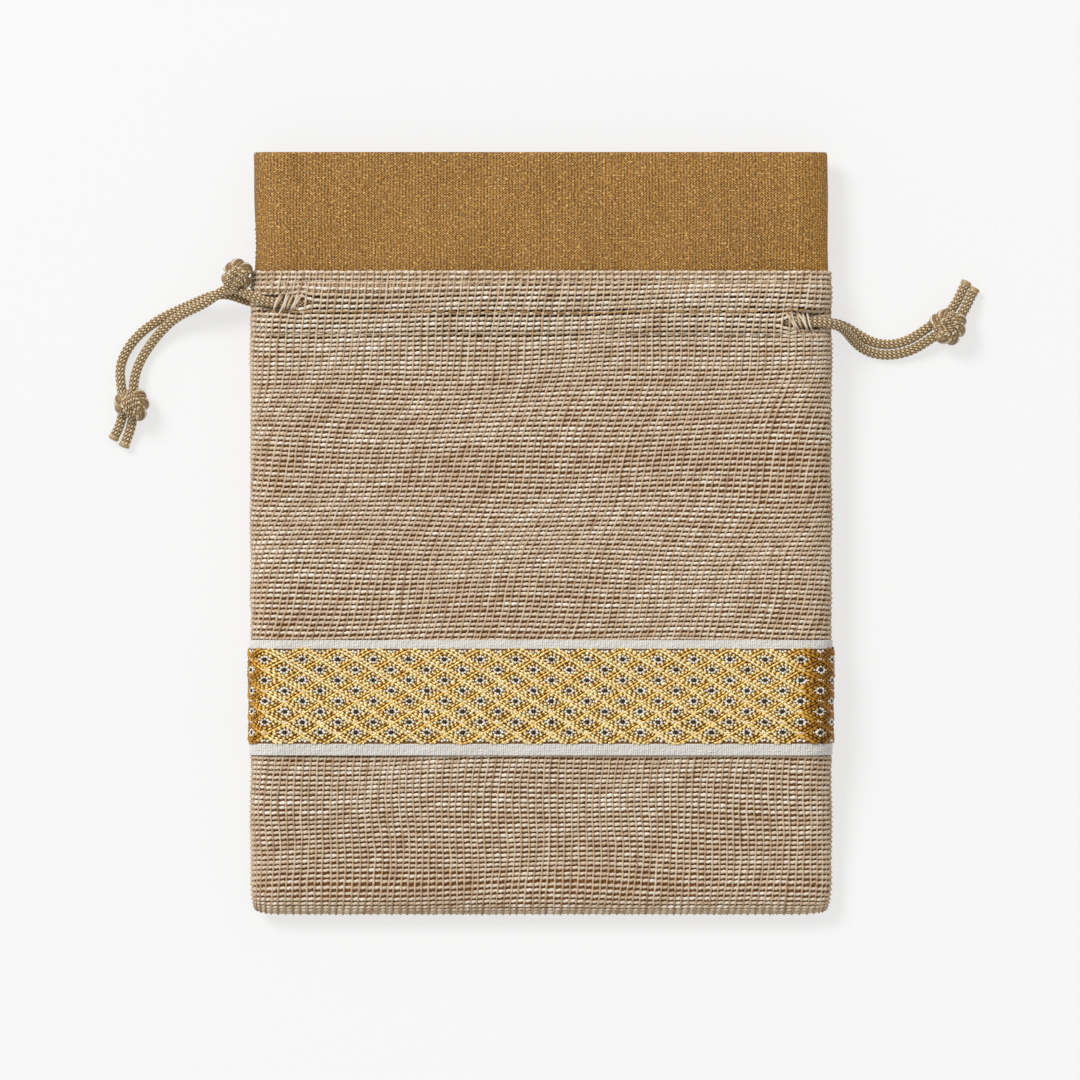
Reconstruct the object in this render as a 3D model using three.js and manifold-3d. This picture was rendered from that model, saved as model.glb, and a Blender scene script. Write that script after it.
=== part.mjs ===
// Drawstring gift pouch: a woven jute shell over a gold tissue lining, with a gold mouth
// frill, a brocade border across the front, and two drawstrings in a stitched channel.
// Millimetres. The pouch lies on its back: +X to its right, +Y to its mouth, +Z up.
// The origin is under the middle of the pouch, on the surface that it lies on.
import * as THREE from "three";
import { mergeVertices } from "three/addons/utils/BufferGeometryUtils.js";
import Module from "manifold-3d";

// Outline of the pouch.
const WIDTH = 140;
const LENGTH = 183.5;
const FRILL_HEIGHT = 28.4; // how far the gold mouth frill stands above the shell
const BOTTOM_Y = -LENGTH / 2;
const MOUTH_Y = LENGTH / 2;
const SHELL_TOP_Y = MOUTH_Y - FRILL_HEIGHT;
const SIDE_ROUND = 8; // width of the rounded stretch along each side
const BOTTOM_ROUND = 9;
const FLAT_HALF = WIDTH / 2 - SIDE_ROUND;

// Cloth and thread.
const GAP = 0.3;
const SHELL_THICK = 0.6;
const HEM_THICK = 0.4;
const LINING_THICK = 0.25;
const FRILL_THICK = 0.4; // two plies of tissue
const BORDER_THICK = 0.5;
const THREAD_GAP = 0.2;
const THREAD_THICK = 0.3;
const THREAD_WIDTH = 0.6;
const SEAM_THREAD = 0.5;
const SEAM_HALF_GAP = SEAM_THREAD / 2 + GAP;

// Drawstrings.
const CORD = 2.4;
const CORD_SIDES = 8;
const LEFT_LANE_Y = 55.5;
const RIGHT_LANE_Y = 50.9;
const TURN_CENTRE_X = FLAT_HALF + 0.8; // the middle of each cord's turn inside the channel

// Insets of the layers from the pouch's outer surface.
const LINING_INSET = SHELL_THICK + GAP;
const LANE_INSET = SHELL_THICK + GAP + CORD / 2;
const HEM_INSET = SHELL_THICK + CORD + 2 * GAP;
const CHANNEL_LINING_INSET = HEM_INSET + HEM_THICK + GAP;

// Heights of the outer surface, and where they change.
const INNER_GAP = 4.6; // clear space between the linings inside the channel
const CHANNEL_FLOOR = THREAD_GAP + THREAD_THICK + 0.05;
const CHANNEL_TOP = CHANNEL_FLOOR + 2 * (CHANNEL_LINING_INSET + LINING_THICK) + INNER_GAP;
const BODY_TOP = 13.2;
const BOTTOM_TOP = 8;
const BODY_Y = { full: -45, raise: 40 };
const FOLD_TOP = 12.3; // the shell's folded top edge
const HEM_Y = 47.3;
const CHANNEL_Y = 49;
const LANE_END_Y = 57.5;
const FRILL_START_Y = 60;
const MOUTH_TOP = 10.2;
const MOUTH_FLOOR = 3;

const STITCH_ROWS = { upper: 60.6, middle: 53.3, lower: 48 };
const BORDER_Y = [-53.3, -25.6];
const SELVEDGE = 2.4;

function smooth(a, b, t) {
  return THREE.MathUtils.smoothstep(t, a, b);
}

// Heights of the back's and the front's outer surface at a place along the pouch.
function outerHeights(y) {
  const rise = smooth(BODY_Y.raise, CHANNEL_Y, y);
  const top =
    BOTTOM_TOP +
    (BODY_TOP - BOTTOM_TOP) * smooth(BOTTOM_Y + BOTTOM_ROUND, BODY_Y.full, y) +
    (CHANNEL_TOP - BODY_TOP) * rise -
    (CHANNEL_TOP - FOLD_TOP) * smooth(LANE_END_Y, SHELL_TOP_Y, y);
  return { floor: CHANNEL_FLOOR * rise, top };
}

function frillHeights(y) {
  const t = smooth(FRILL_START_Y, MOUTH_Y, y);
  const top = CHANNEL_TOP - CHANNEL_LINING_INSET;
  const floor = CHANNEL_FLOOR + CHANNEL_LINING_INSET;
  return {
    floor: THREE.MathUtils.lerp(floor, MOUTH_FLOOR, t),
    top: THREE.MathUtils.lerp(top, MOUTH_TOP, t),
  };
}

// Columns run across the pouch and rows along it. Each is flat, at a place, or rounded, at
// an angle on the quarter-ellipse that the cloth turns through at an edge.
function columns(halfFlat, angles, flatSteps) {
  const list = angles.map((angle) => ({ sign: -1, angle }));
  for (let i = 0; i <= flatSteps; i++)
    list.push({ at: -halfFlat + (2 * halfFlat * i) / flatSteps });
  return [...list, ...angles.map((angle) => ({ sign: 1, angle })).reverse()];
}

function rowsAt(places) {
  return places.map((at) => ({ at }));
}

const SIDE_ANGLES = [0, 16, 34, 52, 70];
const ACROSS = columns(FLAT_HALF, SIDE_ANGLES, 4);
const ACROSS_FLAT = columns(FLAT_HALF - 1, [], 6);
const BOTTOM_ROWS = [0, 18, 38, 60].map((angle) => ({ sign: -1, angle }));

function edgePlace(line, inset, flat, round) {
  if (line.at !== undefined) return { at: line.at, share: 1 };
  const angle = THREE.MathUtils.degToRad(line.angle);
  return {
    at: line.sign * (flat + (round - inset) * Math.cos(angle)),
    share: Math.sin(angle),
  };
}

// One layer of cloth of the front (side 1) or the back (side -1): a box whose two faces are
// laid at the outer and inner insets from the pouch's outer surface.
function layer(side, cols, rows, outerInset, innerInset, heights = outerHeights) {
  const nx = cols.length - 1;
  const ny = rows.length - 1;
  const box = new THREE.BoxGeometry(nx, ny, 1, nx, ny, 1);
  const place = box.getAttribute("position");
  for (let i = 0; i < place.count; i++) {
    const col = cols[Math.round(place.getX(i) + nx / 2)];
    const row = rows[Math.round(place.getY(i) + ny / 2)];
    const isOuter = place.getZ(i) * side > 0;
    const insetOf = isOuter ? outerInset : innerInset;
    const rowY = row.at ?? BOTTOM_Y;
    const inset = typeof insetOf === "function" ? insetOf(rowY) : insetOf;
    const along = edgePlace(row, inset, -(BOTTOM_Y + BOTTOM_ROUND), BOTTOM_ROUND);
    const across = edgePlace(col, inset, FLAT_HALF, SIDE_ROUND);
    const { floor, top } = heights(along.at);
    const middle = (floor + top) / 2;
    const half = (top - floor) / 2;
    const reach = (half - inset - SEAM_HALF_GAP) * across.share * along.share;
    place.setXYZ(i, across.at, along.at, middle + side * (SEAM_HALF_GAP + reach));
  }
  return plain(box);
}

// Only shared corner points, as the solids need them.
function plain(geometry) {
  geometry.deleteAttribute("normal");
  geometry.deleteAttribute("uv");
  return mergeVertices(geometry, 1e-4);
}

// A thread or cord along a smooth line.
function tube(points, width, steps, sides = CORD_SIDES) {
  const outline = new THREE.Shape();
  for (let i = 0; i < sides; i++) {
    const a = ((i + 0.5) / sides) * 2 * Math.PI;
    const r = width / 2;
    outline[i ? "lineTo" : "moveTo"](r * Math.cos(a), r * Math.sin(a));
  }
  outline.closePath();
  const extrudePath = new THREE.CatmullRomCurve3(
    points.map((p) => new THREE.Vector3(...p)),
    false,
    "centripetal",
  );
  return plain(new THREE.ExtrudeGeometry(outline, { steps, extrudePath, bevelEnabled: false }));
}

const wasm = await Module();
wasm.setup();

function solid(geometry) {
  return new wasm.Manifold(
    new wasm.Mesh({
      numProp: 3,
      vertProperties: geometry.getAttribute("position").array,
      triVerts: new Uint32Array(geometry.index.array),
    }),
  );
}

// The cloth with the cords' ways out cut through it.
function cutBy(geometry, cutters) {
  let left = solid(geometry);
  for (const cutter of cutters) left = left.subtract(solid(cutter));
  const mesh = left.getMesh();
  const cut = new THREE.BufferGeometry();
  cut.setAttribute("position", new THREE.BufferAttribute(mesh.vertProperties, 3));
  cut.setIndex(new THREE.BufferAttribute(mesh.triVerts, 1));
  return cut;
}

const pouch = new THREE.Group();
const leftCord = new THREE.Group();
const rightCord = new THREE.Group();
const object = new THREE.Group();
object.add(pouch, leftCord, rightCord);

function add(group, name, geometry, color, roughness = 0.9, metalness = 0) {
  const mesh = new THREE.Mesh(
    geometry,
    new THREE.MeshStandardMaterial({ color, roughness, metalness }),
  );
  mesh.name = name;
  group.add(mesh);
}

const JUTE = 0xb49e84;
const GOLD_TISSUE = 0xb08030;
const BROCADE = 0xd0a23c;
const THREAD = 0xa88a58;
const CORD_TAN = 0xa58f6c;

// Drawstring routes. Each cord goes in at its own side of the pouch, round the far side
// inside the channel, and comes back out beside itself.
const frontLegZ = CHANNEL_TOP - LANE_INSET;
const backLegZ = CHANNEL_FLOOR + LANE_INSET;
const turnZ = (frontLegZ + backLegZ) / 2;
const turnRadius = (frontLegZ - backLegZ) / 2;

// side is 1 for the cord that turns round at the right, and comes out at the left.
function loopRoute(side, laneY, frontOut, backOut) {
  const flip = (points) => points.map(([x, y, z]) => [side * x, y, z]);
  const legs = [-54, -36, -18, 0, 18, 36, 52];
  const front = legs.map((x) => [x, laneY, frontLegZ]);
  const back = legs.map((x) => [x, laneY, backLegZ]).reverse();
  const turn = [];
  for (let a = 90; a >= -90; a -= 22.5) {
    const t = THREE.MathUtils.degToRad(a);
    const x = TURN_CENTRE_X + turnRadius * Math.cos(t);
    turn.push([x, laneY, turnZ + turnRadius * Math.sin(t)]);
  }
  return flip([...[...frontOut].reverse(), ...front, ...turn, ...back, ...backOut]);
}

// Beyond its exits each cord goes straight on, so that it slides without moving sideways.
const FRONT_EXIT_X = 58; // where a cord comes out of the front, from the pouch's middle
const STRAIGHT_END_X = 61;
const BACK_END_X = WIDTH / 2;
function straightOut(laneY, legZ, endX) {
  return [[-57, laneY, legZ], [-endX, laneY, legZ]];
}
const leftLoop = loopRoute(
  1,
  LEFT_LANE_Y,
  straightOut(LEFT_LANE_Y, frontLegZ, STRAIGHT_END_X),
  straightOut(LEFT_LANE_Y, backLegZ, BACK_END_X),
);
const rightLoop = loopRoute(
  -1,
  RIGHT_LANE_Y,
  straightOut(RIGHT_LANE_Y, frontLegZ, STRAIGHT_END_X),
  straightOut(RIGHT_LANE_Y, backLegZ, BACK_END_X),
);
const LOOP_STEPS = 84;
const SLOT_WIDTH = CORD + 2 * GAP;

// A slot from the front exit to the pouch's side, open above the cord, and a hole in the side
// for the strand from the back.
function slotCut(side, laneY) {
  const length = WIDTH / 2 - FRONT_EXIT_X + 2;
  const height = 6;
  const box = new THREE.BoxGeometry(length, SLOT_WIDTH, height);
  box.translate(-side * (FRONT_EXIT_X + length / 2), laneY, frontLegZ - CORD / 2 - GAP + height / 2);
  return plain(box);
}
function holeCut(side, laneY) {
  const length = 12;
  const hole = new THREE.CylinderGeometry(SLOT_WIDTH / 2, SLOT_WIDTH / 2, length, 12);
  hole.rotateZ(Math.PI / 2);
  hole.translate(-side * (FLAT_HALF + length / 2), laneY, backLegZ);
  return plain(hole);
}
const frontCuts = [slotCut(1, LEFT_LANE_Y), slotCut(-1, RIGHT_LANE_Y)];
const backCuts = [holeCut(1, LEFT_LANE_Y), holeCut(-1, RIGHT_LANE_Y)];

// Jute shell, front and back.
const shellRows = [
  ...BOTTOM_ROWS,
  ...rowsAt([-82.75, -70, -57, -45, -20, 10, 36, 40, 43, 46, 49, 53.2, LANE_END_Y, 60.5, SHELL_TOP_Y]),
];
const shellFront = layer(1, ACROSS, shellRows, 0, SHELL_THICK);
const shellBack = layer(-1, ACROSS, shellRows, 0, SHELL_THICK);
add(pouch, "shell_front", cutBy(shellFront, frontCuts), JUTE);
add(pouch, "shell_back", cutBy(shellBack, backCuts), JUTE);

// The hem turned in behind the shell's top, which makes the channel's inner wall.
const hemRows = rowsAt([CHANNEL_Y - 0.7, 53.2, LANE_END_Y + 0.6]);
const hemInner = HEM_INSET + HEM_THICK;
add(pouch, "hem_front", layer(1, ACROSS_FLAT, hemRows, HEM_INSET, hemInner), JUTE);
add(pouch, "hem_back", layer(-1, ACROSS_FLAT, hemRows, HEM_INSET, hemInner), JUTE);

// Tissue lining.
const LINING_FALL_Y = 36;
function liningInset(y) {
  const share = smooth(LINING_FALL_Y, HEM_Y, y);
  return THREE.MathUtils.lerp(LINING_INSET, CHANNEL_LINING_INSET, share);
}
const liningInner = (y) => liningInset(y) + LINING_THICK;
const liningRows = shellRows.slice(0, -2);
add(pouch, "lining_front", layer(1, ACROSS, liningRows, liningInset, liningInner), GOLD_TISSUE);
add(pouch, "lining_back", layer(-1, ACROSS, liningRows, liningInset, liningInner), GOLD_TISSUE);

// Gold frill round the mouth.
const FRILL_HALF_WIDTH = WIDTH / 2 - 1;
const frillRows = rowsAt([FRILL_START_Y, 68, 76, 84, MOUTH_Y]);
for (const [name, side] of [["frill_front", 1], ["frill_back", -1]]) {
  const frill = layer(side, ACROSS, frillRows, 0, FRILL_THICK, frillHeights);
  frill.scale(FRILL_HALF_WIDTH / (WIDTH / 2), 1, 1);
  add(pouch, name, frill, GOLD_TISSUE, 0.55, 0.35);
}

// Brocade border across the front, and the two rows of stitching that hold it.
const BORDER_LAST_ANGLE = 22;
const borderCols = columns(FLAT_HALF, [BORDER_LAST_ANGLE, 34, 52, 70], 4);
const borderRows = rowsAt([BORDER_Y[0], -45, -35, BORDER_Y[1]]);
const borderOuter = -(THREAD_GAP + BORDER_THICK);
add(pouch, "woven_border", layer(1, borderCols, borderRows, borderOuter, -THREAD_GAP), BROCADE, 0.5, 0.4);

function threadRow(side, y, lift, cols) {
  const rows = rowsAt([y - THREAD_WIDTH / 2, y + THREAD_WIDTH / 2]);
  return layer(side, cols, rows, -lift - THREAD_THICK, -lift);
}
const borderLift = THREAD_GAP * 2 + BORDER_THICK;
for (const [name, y] of [
  ["border_stitch_upper", BORDER_Y[1] - SELVEDGE / 2],
  ["border_stitch_lower", BORDER_Y[0] + SELVEDGE / 2],
])
  add(pouch, name, threadRow(1, y, borderLift, borderCols), THREAD);

// Rows of stitching that close the channel and part its two lanes.
for (const [place, y] of Object.entries(STITCH_ROWS))
  for (const [face, side] of [["front", 1], ["back", -1]])
    add(pouch, `channel_stitch_${place}_${face}`, threadRow(side, y, THREAD_GAP, ACROSS_FLAT), THREAD);

// Seams that join the front to the back.
const SEAM_TOP_Y = HEM_Y - 2;
const SEAM_BOTTOM_Y = BOTTOM_Y + BOTTOM_ROUND;
function seamHeight(y, heights = outerHeights) {
  const { floor, top } = heights(y);
  return (floor + top) / 2;
}
function sideSeam(x, fromY, toY, heights) {
  const points = [];
  for (let i = 0; i <= 12; i++) {
    const y = THREE.MathUtils.lerp(fromY, toY, i / 12);
    points.push([x, y, seamHeight(y, heights)]);
  }
  return tube(points, SEAM_THREAD, 12, 4);
}
const seamX = WIDTH / 2 - SEAM_THREAD / 2;
for (const [name, sign] of [["left", -1], ["right", 1]]) {
  add(pouch, `side_seam_${name}`, sideSeam(sign * seamX, SEAM_BOTTOM_Y, SEAM_TOP_Y), THREAD);
  const frillX = sign * (FRILL_HALF_WIDTH - SEAM_THREAD / 2);
  const frillSeam = sideSeam(frillX, SHELL_TOP_Y + 1, MOUTH_Y - 1, frillHeights);
  add(pouch, `frill_seam_${name}`, frillSeam, THREAD);
}
const bottomSeamY = BOTTOM_Y + SEAM_THREAD / 2;
const bottomSeamZ = seamHeight(BOTTOM_Y);
const bottomEnd = FLAT_HALF;
const bottomSeam = tube(
  [[-bottomEnd, bottomSeamY, bottomSeamZ], [0, bottomSeamY, bottomSeamZ], [bottomEnd, bottomSeamY, bottomSeamZ]],
  SEAM_THREAD,
  6,
  4,
);
add(pouch, "bottom_seam", bottomSeam, THREAD);

// Left drawstring: the loop in the channel, the two strands that leave it, two knots, and
// the two short tails.
function cord(group, name, points, steps) {
  add(group, name, tube(points, CORD, steps), CORD_TAN, 0.75);
}
function knot(group, name, [x, y, z], [rx, ry, rz], turn) {
  const ball = new THREE.SphereGeometry(1, 12, 8);
  ball.scale(rx, ry, rz);
  ball.rotateZ(turn);
  ball.translate(x, y, z);
  add(group, name, plain(ball), CORD_TAN, 0.7);
}

cord(leftCord, "left_cord_loop", leftLoop, LOOP_STEPS);
cord(leftCord, "left_front_strand", [
  [-61.4, 55.5, frontLegZ],
  [-64.5, 55.5, frontLegZ],
  [-67.6, 55.6, 12.1],
  [-70.6, 56.3, 11.8],
], 4);
cord(leftCord, "left_back_strand", [
  [-70.4, 55.5, backLegZ],
  [-72, 55.5, 2.9],
  [-73.4, 55.7, 4],
  [-73.8, 56.2, 5.5],
  [-73.3, 56.8, 6.8],
], 5);
knot(leftCord, "left_inner_knot", [-73.1, 61.7, 10.5], [3.8, 4.5, 3.4], 0);
cord(leftCord, "left_outer_strand", [
  [-76.2, 58.6, 10.3],
  [-80.8, 56.6, 7.8],
  [-86.8, 54.5, 4.4],
  [-92.8, 51.5, 2.2],
  [-97.6, 47.9, 1.4],
  [-101, 42.7, 1.3],
  [-101.8, 39, 1.7],
  [-101.3, 36.2, 2.6],
], 12);
cord(leftCord, "left_inner_strand", [
  [-76, 56.1, 9.2],
  [-80.4, 54, 6.4],
  [-86.4, 51.8, 3.2],
  [-91.4, 48.9, 1.6],
  [-95.2, 44.6, 1.3],
  [-97.6, 40.4, 1.6],
  [-98.3, 36.3, 2.6],
], 11);
knot(leftCord, "left_outer_knot", [-98.8, 31.1, 3.8], [4.1, 4.5, 3.6], 0);
cord(leftCord, "left_tail_a", [[-101.3, 26.4, 2], [-102.5, 24.2, 1.5], [-103.6, 22.1, 1.3]], 2);
cord(leftCord, "left_tail_b", [[-98.6, 26, 1.8], [-99.7, 23.4, 1.4], [-100.8, 20.7, 1.3]], 2);

// Right drawstring, with one knot.
cord(rightCord, "right_cord_loop", rightLoop, LOOP_STEPS);
cord(rightCord, "right_front_strand", [
  [61.4, 50.9, frontLegZ],
  [64.5, 50.9, frontLegZ],
  [67.6, 50.8, 12.1],
  [70.8, 50.3, 11.7],
  [72.8, 49.3, 9.4],
  [74, 48, 6.8],
  [75.2, 46.5, 4.3],
  [77.2, 44.6, 2.2],
  [80, 43.4, 1.4],
  [83.5, 42.9, 1.3],
  [88, 43.6, 1.5],
  [91.6, 45.2, 2.2],
  [94.1, 47.2, 3],
], 16);
cord(rightCord, "right_back_strand", [
  [70.4, 50.9, backLegZ],
  [72.6, 50.5, 2.3],
  [75.2, 49, 1.7],
  [77.6, 47.4, 1.4],
  [80.2, 46.2, 1.3],
  [84, 45.7, 1.3],
  [87.6, 46.3, 1.6],
  [90.4, 47.6, 2.4],
  [93, 49.5, 3.1],
], 11);
knot(rightCord, "right_knot", [98.1, 49.9, 4.2], [5.2, 4.4, 3.9], Math.PI * 0.3);
cord(rightCord, "right_tail_a", [[100, 55.1, 3.1], [101.2, 57.8, 2], [102.6, 60.5, 1.4]], 2);
cord(rightCord, "right_tail_b", [[102.2, 54, 3.1], [103.4, 56.6, 2], [104.8, 59.3, 1.4]], 2);

export default object;
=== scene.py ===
import bmesh
import bpy
import numpy as np
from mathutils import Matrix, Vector


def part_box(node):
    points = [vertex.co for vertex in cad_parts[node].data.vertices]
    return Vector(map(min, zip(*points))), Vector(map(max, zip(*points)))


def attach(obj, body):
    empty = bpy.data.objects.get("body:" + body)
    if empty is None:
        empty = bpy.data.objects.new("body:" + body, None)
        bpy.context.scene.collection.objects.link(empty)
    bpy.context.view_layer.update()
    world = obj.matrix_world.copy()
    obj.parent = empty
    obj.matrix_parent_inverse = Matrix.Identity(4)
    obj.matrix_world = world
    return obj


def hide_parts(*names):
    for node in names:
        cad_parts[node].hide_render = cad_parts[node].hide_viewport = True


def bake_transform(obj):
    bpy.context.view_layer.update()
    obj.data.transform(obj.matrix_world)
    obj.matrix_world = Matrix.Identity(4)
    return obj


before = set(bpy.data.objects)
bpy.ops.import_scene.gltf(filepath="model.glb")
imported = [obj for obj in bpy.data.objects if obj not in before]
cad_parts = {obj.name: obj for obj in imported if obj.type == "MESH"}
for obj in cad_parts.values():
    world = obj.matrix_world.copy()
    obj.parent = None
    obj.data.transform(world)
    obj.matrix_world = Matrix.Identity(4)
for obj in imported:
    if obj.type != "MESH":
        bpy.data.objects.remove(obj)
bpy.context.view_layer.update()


# ---- Table top, light and camera -------------------------------------------------------
# A plain pale table under a large soft lamp at the upper left and an even white room.
# The camera looks straight down through a long lens.
METRE = 0.001  # one millimetre in metres
TABLE_WIDTH = 6.0
CAMERA_HEIGHT = 2.5
VIEW_WIDTH = 0.2597
SENSOR = 36
scene = bpy.context.scene
scene.view_settings.view_transform = "Standard"


def plain_material(name, color, roughness):
    material = bpy.data.materials.new(name)
    material.use_nodes = True
    shader = material.node_tree.nodes["Principled BSDF"]
    shader.inputs["Base Color"].default_value = (*color, 1)
    shader.inputs["Roughness"].default_value = roughness
    return material


room = bpy.data.worlds.new("white_room")
room.use_nodes = True
room.node_tree.nodes["Background"].inputs["Color"].default_value = (1, 1, 1, 1)
room.node_tree.nodes["Background"].inputs["Strength"].default_value = 0.56
scene.world = room

table_mesh = bpy.data.meshes.new("table_top")
half = TABLE_WIDTH / 2
table_corners = [(-half, -half, 0), (half, -half, 0), (half, half, 0), (-half, half, 0)]
table_mesh.from_pydata(table_corners, [], [(0, 1, 2, 3)])
table_top = bpy.data.objects.new("table_top", table_mesh)
scene.collection.objects.link(table_top)
pale_table = plain_material("pale_table", (0.25, 0.25, 0.25), 0.9)
pale_table.node_tree.nodes["Principled BSDF"].inputs["Emission Color"].default_value = (1, 1, 1, 1)
pale_table.node_tree.nodes["Principled BSDF"].inputs["Emission Strength"].default_value = 0.67
table_mesh.materials.append(pale_table)


def add_lamp(name, place, aim, size, power):
    lamp = bpy.data.lights.new(name, "AREA")
    lamp.shape = "DISK"
    lamp.size = size
    lamp.energy = power
    holder = bpy.data.objects.new(name, lamp)
    holder.location = place
    holder.rotation_euler = (Vector(aim) - Vector(place)).to_track_quat("-Z", "Y").to_euler()
    scene.collection.objects.link(holder)


add_lamp("window_lamp", (-2.0, 2.0, 2.8), (0, 0, 0), 1.6, 105)

camera_data = bpy.data.cameras.new("camera")
camera_data.sensor_width = SENSOR
camera_data.lens = SENSOR * (CAMERA_HEIGHT - 0.01) / VIEW_WIDTH
camera_data.clip_start = 0.1
camera_data.clip_end = 20
camera = bpy.data.objects.new("camera", camera_data)
camera.location = (-0.00024, -0.00156, CAMERA_HEIGHT)
scene.collection.objects.link(camera)
scene.camera = camera


# ---- Drawstrings -----------------------------------------------------------------------
# Two round polyester braids, sixteen carriers over a core. Each goes right round the
# channel. Its two ends leave on its own side, run through its knots, and are cut and melted.
CORD = 2.4
CARRIERS = 8  # in each direction
LAY = 9.0  # one turn of a carrier, along the cord
BRAID_STEP = 0.21


def finish_mesh(name, points, faces, around=None, tone=None, material=None):
    """A smooth mesh object from points in millimetres, quads, and what its material reads."""
    mesh = bpy.data.meshes.new(name)
    mesh.vertices.add(len(points))
    mesh.vertices.foreach_set("co", (points * METRE).astype(np.float32).ravel())
    count = len(faces)
    mesh.loops.add(count * 4)
    mesh.loops.foreach_set("vertex_index", faces.astype(np.int32).ravel())
    mesh.polygons.add(count)
    mesh.polygons.foreach_set("loop_start", np.arange(0, count * 4, 4, dtype=np.int32))
    mesh.update(calc_edges=True)
    mesh.polygons.foreach_set("use_smooth", np.ones(count, bool))
    if around is not None:
        cloth = mesh.attributes.new("cloth", "FLOAT_VECTOR", "POINT")
        cloth.data.foreach_set("vector", around.astype(np.float32).ravel())
    if tone is not None:
        shade = mesh.attributes.new("tone", "FLOAT", "POINT")
        shade.data.foreach_set("value", tone.astype(np.float32).ravel())
    if material is not None:
        mesh.materials.append(material)
    piece = bpy.data.objects.new(name, mesh)
    scene.collection.objects.link(piece)
    return piece


def unit(vectors):
    return vectors / np.maximum(np.linalg.norm(vectors, axis=-1, keepdims=True), 1e-9)


def smooth_line(points, step):
    """Evenly spaced points on a smooth curve through the given ones."""
    p = np.array(points, float)
    p = np.vstack([2 * p[0] - p[1], p, 2 * p[-1] - p[-2]])
    dense = []
    for a, b, c, d in zip(p, p[1:], p[2:], p[3:]):
        t = np.linspace(0, 1, 40, endpoint=False)[:, None]
        bend = (2 * a - 5 * b + 4 * c - d) * t**2 + (3 * b - a - 3 * c + d) * t**3
        dense.append(0.5 * (2 * b + (c - a) * t + bend))
    dense = np.vstack([*dense, p[-2]])
    run = np.append(0, np.cumsum(np.linalg.norm(np.diff(dense, axis=0), axis=1)))
    even = np.linspace(0, run[-1], max(3, int(run[-1] / step) + 1))
    return np.stack([np.interp(even, run, dense[:, k]) for k in range(3)], 1), even


def line_frames(line):
    """Two directions across the line at each point, which don't twist along it."""
    ahead = unit(np.gradient(line, axis=0))
    first = unit(np.cross(ahead[0], (0.3, 0.2, 1.0)))
    across = [first]
    for direction in ahead[1:]:
        kept = across[-1] - direction * np.dot(across[-1], direction)
        across.append(kept / np.linalg.norm(kept))
    across = np.array(across)
    return ahead, across, np.cross(ahead, across)


def ring_tubes(line, out, half_wide, half_high, sides, tone, run, number):
    """Tubes round lines[n, m, 3]: points, quads, and the values that the yarn materials read."""
    n, m = line.shape[:2]
    ahead = unit(np.gradient(line, axis=1))
    side = unit(np.cross(ahead, out))
    up = np.cross(side, ahead)
    turn = np.arange(sides) * 2 * np.pi / sides
    wide = half_wide[..., None, None] * np.cos(turn)[:, None] * side[:, :, None, :]
    high = half_high[..., None, None] * np.sin(turn)[:, None] * up[:, :, None, :]
    points = line[:, :, None, :] + wide + high
    index = np.arange(n * m * sides).reshape(n, m, sides)
    nxt = np.roll(index, -1, axis=2)
    quads = np.stack([index[:, :-1], nxt[:, :-1], nxt[:, 1:], index[:, 1:]], -1)
    girth = np.broadcast_to(turn / 2 / np.pi, (n, m, sides))
    around = np.stack(
        [
            np.broadcast_to(run[..., None], (n, m, sides)),
            girth,
            np.broadcast_to(number[:, None, None], (n, m, sides)),
        ],
        -1,
    )
    tones = np.broadcast_to(tone[..., None], (n, m, sides))
    return points.reshape(-1, 3), quads.reshape(-1, 4), around.reshape(-1, 3), tones.ravel()


def joined(parts):
    """Several lots of points, quads and values as one."""
    shift = np.cumsum([0] + [len(p[0]) for p in parts])
    faces = np.vstack([part[1] + by for part, by in zip(parts, shift)])
    return (
        np.vstack([p[0] for p in parts]),
        faces,
        np.vstack([p[2] for p in parts]),
        np.concatenate([p[3] for p in parts]),
    )


def braid(points, width=CORD, step=BRAID_STEP, satin=None):
    """A round braid along a smooth line through the points. Where satin is near 1 the carriers
    are stretched flat and close, as on the outside of a tight bend."""
    line, run = smooth_line(points, step)
    ahead, across, over = line_frames(line)
    scale = width / CORD
    middle = 0.95 * scale
    loose = 1 - (satin(run / run[-1]) if satin else 0 * run)
    rise = 0.14 * scale * loose
    strands, outs, tones = [], [], []
    for way in (1, -1):
        for k in range(CARRIERS):
            angle = way * 2 * np.pi * run / (LAY * scale) + 2 * np.pi * k / CARRIERS
            lift = way * np.cos(2 * np.pi * CARRIERS * run / (LAY * scale))
            radial = np.cos(angle)[:, None] * across + np.sin(angle)[:, None] * over
            sink = 0.11 * scale * (1 - way) * (1 - loose)
            strands.append(line + radial * (middle + rise * lift - sink)[:, None])
            outs.append(radial)
            # Painted highlight and shade: away from the satin, a carrier's tone rises where it lifts over
            # the others and falls where it sinks. Carriers laid one way are lighter than those laid the
            # other.
            base = 0.62 if way == 1 else 0.36
            close = 0.58 + 0.34 * np.cos(2.4 * k + 1.3 * way)  # each carrier shows as a line
            tones.append(close + loose * (base - close + 0.38 * lift))
    strands, outs = np.array(strands), np.array(outs)
    wide = scale * (0.24 + 0.16 * (1 - loose)) + np.zeros(strands.shape[:2])
    high = np.full(strands.shape[:2], 0.16 * scale)
    far = np.broadcast_to(run, strands.shape[:2])
    number = np.arange(len(strands)) * 3.7
    skin = ring_tubes(strands, outs, wide, high, 5, np.array(tones), far, number)
    core_line = line[None]
    core_round = np.full(core_line.shape[:2], 0.86 * scale)
    # Painted shade: the core, seen only in the gaps between the carriers, gets a tone below the darkest
    # colour.
    dark = np.full(core_line.shape[:2], -0.1)
    core = ring_tubes(core_line, across[None], core_round, core_round, 10, dark, run[None], np.zeros(1))
    return joined([skin, core])


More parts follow.
